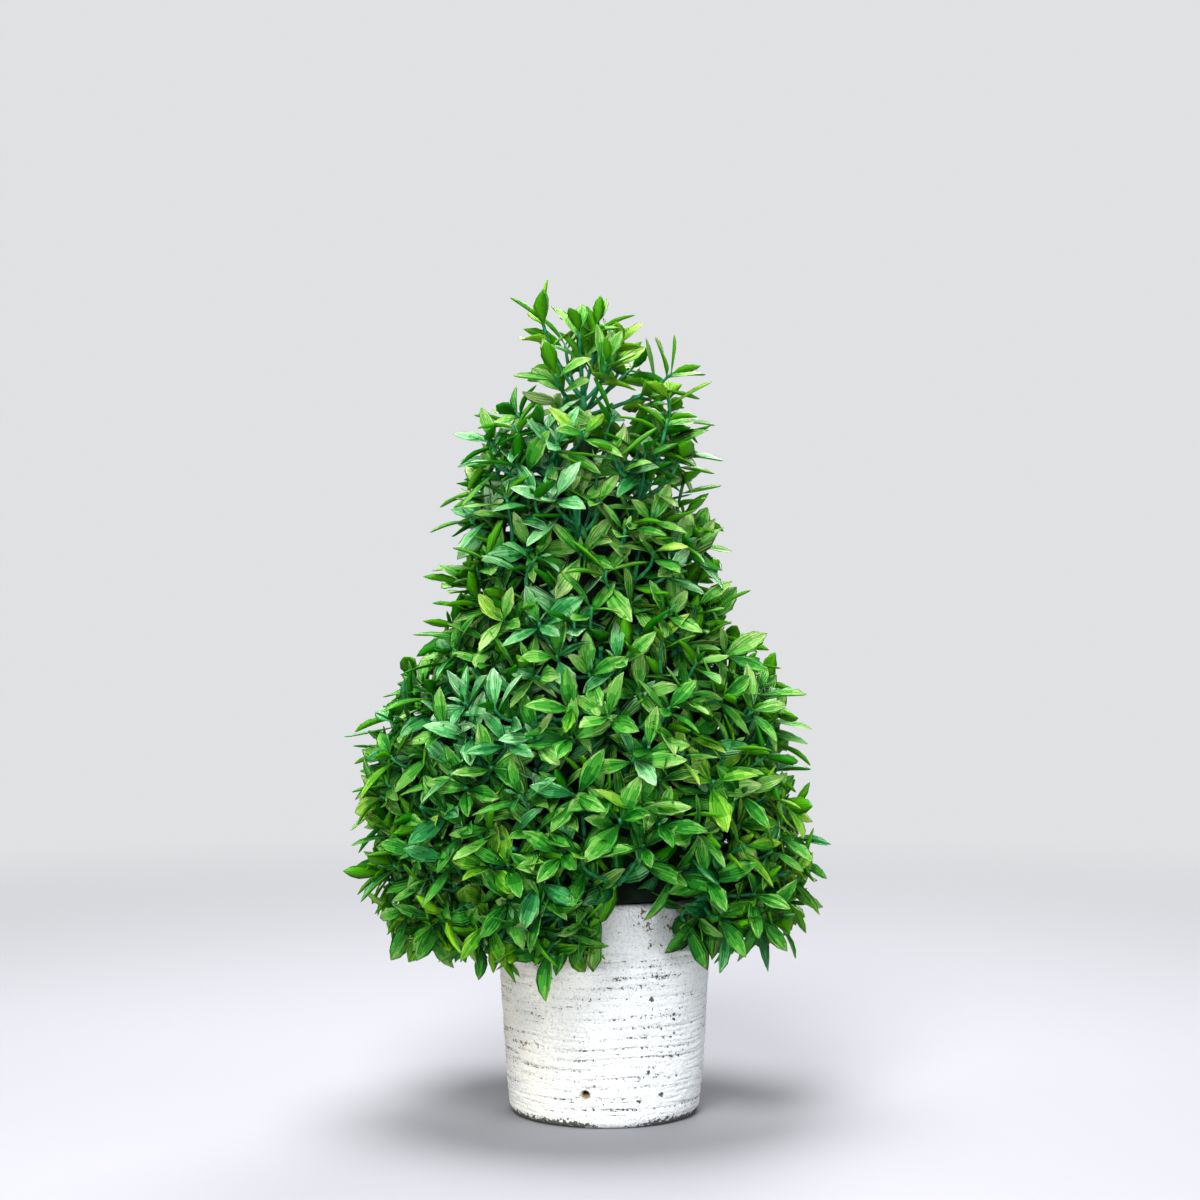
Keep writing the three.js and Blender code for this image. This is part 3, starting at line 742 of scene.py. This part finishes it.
def whitewash_material():
    """Chalky white over a dark body that shows in ragged dots, in chips and at the foot, with a painted shadow
    in the upper part of the pit and painted shade along the grooves.
    """
    nodes = Nodes("whitewash", 0.9)
    place = nodes.place()
    _, _, z = nodes.axes(place)
    grain = nodes.noise(place, scale=1100.0, detail=3.0, roughness=0.75)
    dots = nodes.noise(place, scale=800.0, detail=3.0, roughness=0.7)
    colour = wash_colour(nodes, place)
    # Painted shade: a faint grey along the grooves
    faint = nodes.product(nodes.between(nodes.value_of("groove"), 0.2, 1.0), nodes.between(grain, 0.4, 0.6))
    colour = nodes.mix(nodes.product(faint, 0.35), colour, linear(WASH.faint))
    dark = worn_share(nodes, place, dots)
    colour = nodes.mix(nodes.product(dark, 0.9), colour, linear(WASH.body))
    chips = nodes.sum(nodes.product(near_points(nodes, place, CHIPS), 0.22), dots)
    chips = nodes.between(chips, *WORN.chips)
    colour = nodes.mix(nodes.product(chips, 0.9), colour, linear(WASH.chip))
    # Painted shadow: the upper part of the pit near black, its lower part tan
    low_in_pit = nodes.between(z, (PIT.z - 0.6) * MM, (PIT.z + 0.3) * MM, 1.0, 0.0)
    pit = nodes.mix(low_in_pit, linear(WASH.pit), linear(WASH.pit_edge))
    nodes.colour(nodes.mix(nodes.value_of("hollow"), colour, pit))
    relief = nodes.math("SUBTRACT", grain, nodes.product(nodes.most(dark, chips), 0.5))
    nodes.bump(relief, strength=0.9, distance=0.0017)
    return nodes.material


# Pot, filling, stem and core

POT_GRID = Values(columns=360, wall_rows=224, inner_rows=24)
NECK = Values(fall=4, drop=0.3, above=1.2, ease=0.6, end=0.2, sink=0.1)
LIP = Values(above_neck=1.3, height=0.9, spread=0.9)
CREASE = Values(below_neck=0.6, depth=0.8, spread=0.55)
UNEVEN = Values(wall=0.3, fine=0.07, heel=0.15, rim=0.22)
GROOVES = Values(depth=0.62, level=0.3, wander=0.13, fine_wander=0.3, spread=0.14, fine_spread=0.17)
FILLING_GRID = Values(columns=96, rows=26)
STEM_GRID = Values(columns=40, rows=120)
TANGLE = Values(columns=96, rows=90, share=0.78, sink=3, lumps=2.2, above_pot=2.5,
                taper_z=[225, 262], taper=[1, 0.3])


def body_radius(z):
    share = np.clip((z - POT.heel) / (POT.shoulder_z - POT.heel), 0, 1)
    low = POT.foot_radius + POT.heel
    return low + (POT.shoulder_radius - low) * share ** POT.swell


def inner_radius(z):
    share = (z - POT.floor) / (POT.height - POT.floor)
    low = POT.foot_radius + POT.heel
    return low + (POT.band_radius - low) * share - POT.wall


def wall_radius(z):
    """The outer wall without its rings, from the heel to just under the rim's rounding."""
    neck = POT.neck_radius
    share = np.clip((z - POT.neck_z) / (POT.height - POT.neck_z), 0, 1)
    bulge = neck + (POT.band_radius - neck) * np.sin(share * math.pi)
    top_z = POT.neck_z - NECK.end
    into_neck = np.interp(z, [POT.shoulder_z, POT.shoulder_z + NECK.fall, POT.neck_z - NECK.above, top_z],
                          [POT.shoulder_radius, POT.shoulder_radius - NECK.drop, neck + NECK.ease,
                           neck - NECK.sink])
    lip = LIP.height * np.exp(-((z - POT.neck_z - LIP.above_neck) / LIP.spread) ** 2)
    return np.where(z < top_z, np.where(z < POT.shoulder_z, body_radius(z), into_neck), bulge + lip)


def ring_field(azimuth, z):
    """The turned grooves, 0 to 1: wandering lines that fade in and out, with finer ones between them."""
    phase = (z - POT.heel) * POT.rings / (POT.shoulder_z - POT.heel)
    phase = phase + GROOVES.wander * ripple(azimuth, z, 5)
    between = 2 * phase + 0.4 + GROOVES.fine_wander * ripple(azimuth, z, 6, 0.05)
    main, fine = [np.abs((turn + 0.5) % 1 - 0.5) for turn in (phase, between)]
    strength = np.clip(0.6 + 0.45 * ripple(azimuth, z, 8, 0.13), 0.12, 1)
    faint = np.clip(0.35 + 0.4 * ripple(azimuth * 2, z, 9, 0.25), 0, 0.75)
    field = np.maximum(np.exp(-(main / GROOVES.spread) ** 2) * strength,
                       np.exp(-(fine / GROOVES.fine_spread) ** 2) * faint)
    ringed = np.interp(z, [POT.heel, POT.heel + 2, POT.shoulder_z + 3, POT.shoulder_z + 6], [0.4, 1, 1, 0.25])
    return field * ringed


def pot_wall(azimuth):
    """Rows of the outer wall: their radii, heights, groove depth and share in the pit."""
    z = np.linspace(POT.heel, POT.height - POT.rim_round, POT_GRID.wall_rows)[:, None]
    groove = ring_field(azimuth, z)
    crease = CREASE.depth * np.exp(-((z - POT.neck_z + CREASE.below_neck) / CREASE.spread) ** 2)
    radius = wall_radius(z) + UNEVEN.wall * ripple(azimuth, z, 3) - GROOVES.depth * (groove - GROOVES.level)
    radius = radius + UNEVEN.fine * ripple(azimuth * 9, z, 12, rise=0.3)
    arc = radius * ((azimuth - math.radians(PIT.azimuth) + math.pi) % TAU - math.pi)
    hollow = np.clip((PIT.radius + 0.2 - np.hypot(arc, z - PIT.z)) / 0.4, 0, 1)
    return radius - PIT.depth * hollow, z, np.maximum(groove, crease), hollow


def pot_piece():
    azimuth = around(POT_GRID.columns)
    round_row = np.ones_like(azimuth)
    wall, wall_z, groove, hollow = pot_wall(azimuth)
    turn = np.radians([0, 20, 40, 60, 78])[:, None]
    heel = POT.foot_radius + POT.heel * np.sin(turn) + UNEVEN.heel * ripple(azimuth, turn, 3)
    rim_z = POT.height - np.array([1.1, 0.4, 0, 0, 0.3, 0.9])[:, None]
    rim_in = np.array([0.2, 0.7, 1.6, POT.wall - 1.0, POT.wall - 0.35, POT.wall])[:, None]
    rim = wall_radius(POT.height - POT.rim_round) - rim_in + UNEVEN.rim * ripple(azimuth, rim_z, 3)
    inner_z = np.linspace(POT.height - 2, POT.floor, POT_GRID.inner_rows)[:, None]
    inner = inner_radius(inner_z) * round_row
    radius = np.concatenate([heel, wall, rim, inner])
    z = np.concatenate([POT.heel * (1 - np.cos(turn)), wall_z, rim_z, inner_z]) * round_row
    before = np.zeros((len(turn), POT_GRID.columns))
    after = np.zeros((len(rim_z) + len(inner_z), POT_GRID.columns))
    values = {key: np.concatenate([before, on_wall, after])
              for key, on_wall in (("groove", groove), ("hollow", hollow))}
    pot = turned_piece("whitewashed_pot", radius, z, azimuth, [0, 0, 0], [0, 0, POT.floor], values=values)
    paint(pot, [whitewash_material()])
    settle(pot, "pot_whitewash", "pot")


def filling_piece():
    """A crumbly plug of packing just under the rim."""
    azimuth = around(FILLING_GRID.columns)
    share = np.linspace(1, 0.04, FILLING_GRID.rows)[:, None]
    lumps = ripple(azimuth * 3, share * 60, 21, rise=0.4)
    top = FILL.top_z - 2 * share ** 3 - 0.7 + 0.6 * lumps * np.minimum(1, (1 - share) * 8)
    low = np.full((1, FILLING_GRID.columns), POT.floor + 0.3)
    radius = np.concatenate([inner_radius(low) - FILL.clear,
                             (inner_radius(FILL.edge_z) - FILL.clear) * share * np.ones_like(azimuth)])
    filling = turned_piece("packing", radius, np.concatenate([low, top]), azimuth, [0, 0, POT.floor + 0.3],
                           [0, 0, FILL.top_z - 0.6])
    paint(filling, [grained_material("dark_packing", (26, 22, 18), (66, 54, 40), scale=350.0, roughness=0.95,
                                     strength=0.9, distance=0.0015)])
    settle(filling, "packing", "pot_filling")


def stem_piece():
    """The stem that carries the crown, with the ribs and rings of moulded bark."""
    azimuth = around(STEM_GRID.columns)
    share = np.linspace(0, 1, STEM_GRID.rows)[:, None]
    z = STEM.foot_z + share * (STEM.top_z - STEM.foot_z)
    radius = STEM.foot_radius + (STEM.tip_radius - STEM.foot_radius) * share
    bark = 0.16 * ripple(azimuth * 2, z, 31, rise=0.02) + 0.1 * ripple(azimuth, z, 32, rise=0.2)
    stem = turned_piece("moulded_stem", radius - 0.25 + bark, z, azimuth, [0, 0, STEM.foot_z],
                        [CROWN_X, 0, STEM.top_z], shift=share * CROWN_X)
    paint(stem, [grained_material("moulded_stem", (22, 46, 24), (44, 70, 34), scale=420.0, roughness=0.7,
                                  strength=0.6, distance=0.001, stretch=0.15)])
    settle(stem, "stalk", "stem")


def core_piece():
    """The tangle inside the crown, well under its sprays, near black as painted shade of the crown's deep
    inside.
    """
    azimuth = around(TANGLE.columns)
    line = along(CORE, np.linspace(0, 0.98, TANGLE.rows))
    taper = np.interp(line[:, 1:], TANGLE.taper_z, TANGLE.taper)
    lumps = TANGLE.lumps * ripple(azimuth * 2, line[:, 1:], 41, rise=0.06)
    radius = np.maximum((line[:, :1] * TANGLE.share - TANGLE.sink + lumps) * taper, STEM.tip_radius)
    z = np.maximum(line[:, 1:], POT.height + TANGLE.above_pot)
    core = turned_piece("crown_core", radius, z, azimuth, [CROWN_X, 0, z.min()], [CROWN_X, 0, z.max()],
                        shift=CROWN_X)
    # Painted shade: the core's dark green is darkened near to black to stand for the shadow deep in the crown
    paint(core, [grained_material("dark_core", (6, 14, 9), (14, 32, 16), scale=160.0, roughness=0.9,
                                  strength=0.8, distance=0.002)])
    settle(core, "leaf_green")


# Crown

# Places where whole sprays are bluer or more yellow: x, z, spread and the step in tint
TINT_PLACES = [(-35, 252, 26, -1.2), (5, 262, 26, -0.7), (-50, 170, 30, -0.6), (10, 150, 30, -0.3),
               (62, 100, 32, 0.5), (-60, 82, 30, 0.5), (30, 300, 30, 0.7), (0, 75, 40, 0.4),
               (50, 150, 24, 0.4)]


# What the level of a leaf's colour is made up of, and the tints at which its kind changes
# The level's part by height is painted light and shade: leaves low on the crown darker, high on it paler
SHADE = Values(foot=0.4, along=3.0, power=1.2, edge=0.7, tint=0.3, own=(0.25, 0.55), streak=0.5, face=0.12,
               z=[60, 140, 240], by_z=[-1.1, -0.1, 0.6])
KIND_TINTS = [-0.75, 1.0]
UNDER = Values(level=0.9, tint=0.55)

# How far short of the outline twigs end: all outer ones by a spread, and a share of them and the skirt's
# share of them by more. Inner twigs end deeper
DEPTH = Values(spread=3.0, far_share=0.3, far=(5, 11), skirt_share=0.16, skirt=(0, 8), inner=(13, 20))


def spray_tints(points):
    """How yellow each spray is: a random part, and what its place adds."""
    return random.normal(0, 0.6, len(points)) + near_places(points, TINT_PLACES)


def face_kinds(leaves, shape):
    """The colour of each face of each leaf: deep at its foot, pale at its tip and edges."""
    u, v = shape.places[:, 0], shape.places[:, 1]
    count = len(leaves.tint)
    grade = SHADE.foot + SHADE.along * u ** SHADE.power + SHADE.edge * v ** 2
    own = SHADE.tint * np.maximum(leaves.tint, 0)[:, None] + random.normal(*SHADE.own, (count, 1))
    # Painted light and shade: lower leaves darker, upper leaves paler
    own = own + np.interp(leaves.origin[:, 2:3], SHADE.z, SHADE.by_z)
    streaks = random.normal(0, SHADE.streak, (count, STRIPS))[:, shape.strips]
    level = grade + own + streaks + random.normal(0, SHADE.face, (count, len(grade)))
    level = np.clip(np.rint(level), 0, LEVELS - 1)
    kind = np.digitize(leaves.tint + random.normal(0, 0.3, count), KIND_TINTS)[:, None]
    under = np.clip(np.rint(UNDER.level + UNDER.tint * leaves.tint), 0, len(UNDER_COLOURS) - 1)[:, None]
    return np.where(shape.under, len(LEAF_COLOURS) * LEVELS + under, kind * LEVELS + level).astype(int)


def leaf_piece(name, groups, materials):
    """One mesh of every leaf in a mass, from groups of leaves and the shape that each group has."""
    parts, uv, quad_kinds, triangle_kinds = [], [], [], []
    for leaves, shape in groups:
        parts.append(repeated(leaf_points(leaves, shape), shape.quads, shape.triangles))
        uv.append(np.tile(np.stack([shape.u, 0.5 + 0.5 * shape.v], axis=-1), (len(leaves.tint), 1)))
        kinds = face_kinds(leaves, shape)
        quad_kinds.append(kinds[:, :len(shape.quads)].ravel())
        triangle_kinds.append(kinds[:, len(shape.quads):].ravel())
    piece = new_piece(name, *merged(parts), uv=np.concatenate(uv))
    paint(piece, materials, np.concatenate(quad_kinds + triangle_kinds))
    return piece


def outer_depths():
    """How far short of the outline each outer twig ends: most a little, some far, and the skirt unevenly."""
    depth = np.abs(random.normal(0, DEPTH.spread, TWIGS))
    depth = depth + np.where(vary(TWIGS, 0, 1) < DEPTH.far_share, vary(TWIGS, *DEPTH.far), 0)
    in_skirt = np.arange(TWIGS) < DEPTH.skirt_share * TWIGS
    return depth + np.where(in_skirt, vary(TWIGS, *DEPTH.skirt), 0)


def crown_pieces():
    """Grows the whole crown, and makes one piece of leaves for each mass of foliage."""
    limbs = clear_of_rim(boughs())
    outer = clear_of_rim(twigs_on(limbs, TWIGS, outer_depths(), jitter=0.05, wander=0.35))
    inner_depths = vary(INNER_TWIGS, *DEPTH.inner)
    inner = clear_of_rim(twigs_on(limbs, INNER_TWIGS, inner_depths, jitter=0.08, wander=0.4, first_turn=1.0))
    main = tuft_main()
    side = tuft_side(main)
    fine = leaves_on(outer, spray_tints(outer.end), any_roll(outer), OUTER_PAIRS)
    fine = clear_of_pot(joined([fine, tuft_leaves(main, side)]), FINE_LEAF)
    plain = leaves_on(inner, spray_tints(inner.end) - 0.5, any_roll(inner), INNER_PAIRS)
    plain = clear_of_pot(plain, PLAIN_LEAF)
    materials = leaf_materials()
    fine_names, plain_names = mass_names(fine.origin), mass_names(plain.origin)
    for name in sorted(set(fine_names)):
        groups = [(chosen_of(fine, fine_names == name), FINE_LEAF)]
        if (plain_names == name).any():
            groups.append((chosen_of(plain, plain_names == name), PLAIN_LEAF))
        piece = leaf_piece(f"leaves_{name}", groups, materials)
        settle(piece, "leaf_green", f"foliage_{name}")
    wood_pieces(limbs, joined([outer, inner, main, side]))


def wood_piece(name, material, *parts):
    """One mesh of one or more sets of tubes."""
    piece = new_piece(name, *merged(parts))
    paint(piece, [material])
    settle(piece, "stalk")


def wood_pieces(limbs, twigs):
    """The boughs with the tuft's leader, and the finer twigs, each kind joined."""
    green = grained_material("green_twig", (20, 84, 54), (44, 122, 70), scale=500.0, roughness=0.55,
                             strength=0.4, distance=0.0005)
    line = [np.array([[0, 0, z]]) for z in (STEM.top_z + 0.3, 281.0, TUFT.fork_z + 1.0)]
    leader = Values(start=line[0], bend=line[1], end=line[2])
    wood_piece("boughs", green, tubes(limbs, root_radius=1.6, tip_radius=0.9, sides=8, segments=10),
               tubes(leader, root_radius=2.4, tip_radius=1.1, sides=10, segments=10))
    wood_piece("twigs", green, tubes(twigs, root_radius=0.95, tip_radius=0.65, sides=6, segments=8))


# Stage, lights and camera

BACKDROP = Values(colour=(0.97, 0.98, 1.0, 1.0), seen=0.8, lit=0.05)
FLOOR = Values(sides=64, radius=9000, colour=(140, 140, 144), fade=(0.2, 1.15))
LIT_PLACE = (0, 0, 0.15)
LAMP_SPREAD = 120
CAMERA = Values(place=(-0.0018, -0.95, 0.205), sensor=36, focal_pixels=2358, picture_pixels=1200)

# Each lamp's name, place, size and power, in metres and watts, and its colour if it isn't white
LAMPS = [("key", (-0.3, -1.25, 1.4), 0.8, 22),
         ("front", (-0.1, -1.7, 0.3), 0.8, 9),
         ("low left", (-0.8, -1.0, 0.08), 0.3, 3.0),
         ("low right", (0.8, -1.0, 0.08), 0.3, 3.2),
         ("top", (-0.1, 0.1, 1.6), 0.9, 20),
         ("right", (1.3, -0.2, 0.8), 0.8, 2.5, (0.92, 0.96, 1.0)),
         ("left", (-1.3, 0.2, 0.8), 0.8, 2),
         ("back", (0.3, 1.2, 1.1), 0.8, 12)]


def stage():
    """A wide pale floor that fades from a plain surface into the backdrop's own brightness."""
    side = np.arange(FLOOR.sides)
    ring = around(FLOOR.sides)
    points = np.stack([FLOOR.radius * np.cos(ring), FLOOR.radius * np.sin(ring), 0 * ring], axis=-1)
    fan = np.stack([side, (side + 1) % FLOOR.sides, np.full(FLOOR.sides, FLOOR.sides)], axis=-1)
    floor = new_piece("studio_floor", np.concatenate([points, [[0, 0, 0]]]), [], fan)
    nodes = Nodes("studio_floor", roughness=0.9, specular=0.0)
    away = nodes.add("ShaderNodeVectorMath", {0: nodes.place()}, operation="LENGTH").outputs["Value"]
    far = nodes.between(away, *FLOOR.fade)
    nodes.colour(nodes.mix(far, linear(FLOOR.colour), (0, 0, 0, 1)))
    nodes.shader.inputs["Emission Color"].default_value = BACKDROP.colour
    nodes.feed(nodes.shader.inputs["Emission Strength"], nodes.product(far, BACKDROP.seen))
    paint(floor, [nodes.material])


def area_light(name, place, size, power, colour=(1, 1, 1)):
    """A round lamp that points at the middle of the plant."""
    data = bpy.data.lights.new(name, "AREA")
    data.shape = "DISK"
    data.size = size
    data.spread = math.radians(LAMP_SPREAD)
    data.energy = power
    data.color = colour
    lamp = linked(name, data)
    lamp.location = place
    lamp.rotation_euler = (Vector(LIT_PLACE) - Vector(place)).to_track_quat("-Z", "Y").to_euler()


def daylight():
    """A backdrop that the camera sees brighter than it lights the plant."""
    world = bpy.data.worlds.new("soft_daylight")
    world.use_nodes = True
    backdrop = world.node_tree.nodes["Background"]
    backdrop.inputs["Color"].default_value = BACKDROP.colour
    looked_at = world.node_tree.nodes.new("ShaderNodeLightPath").outputs["Is Camera Ray"]
    strength = world.node_tree.nodes.new("ShaderNodeMapRange")
    strength.inputs["To Min"].default_value = BACKDROP.lit
    strength.inputs["To Max"].default_value = BACKDROP.seen
    world.node_tree.links.new(looked_at, strength.inputs["Value"])
    world.node_tree.links.new(strength.outputs["Result"], backdrop.inputs["Strength"])
    bpy.context.scene.world = world


def camera():
    data = bpy.data.cameras.new("camera")
    data.sensor_width = CAMERA.sensor
    data.lens = CAMERA.sensor * CAMERA.focal_pixels / CAMERA.picture_pixels
    lens = linked("camera", data)
    lens.location = CAMERA.place
    lens.rotation_euler = (math.pi / 2, 0, 0)
    bpy.context.scene.camera = lens


camera()
for lamp in LAMPS:
    area_light(*lamp)
daylight()
stage()
pot_piece()
filling_piece()
stem_piece()
core_piece()
crown_pieces()
bpy.context.scene.view_settings.view_transform = "Standard"
bpy.context.scene.view_settings.gamma = 0.86
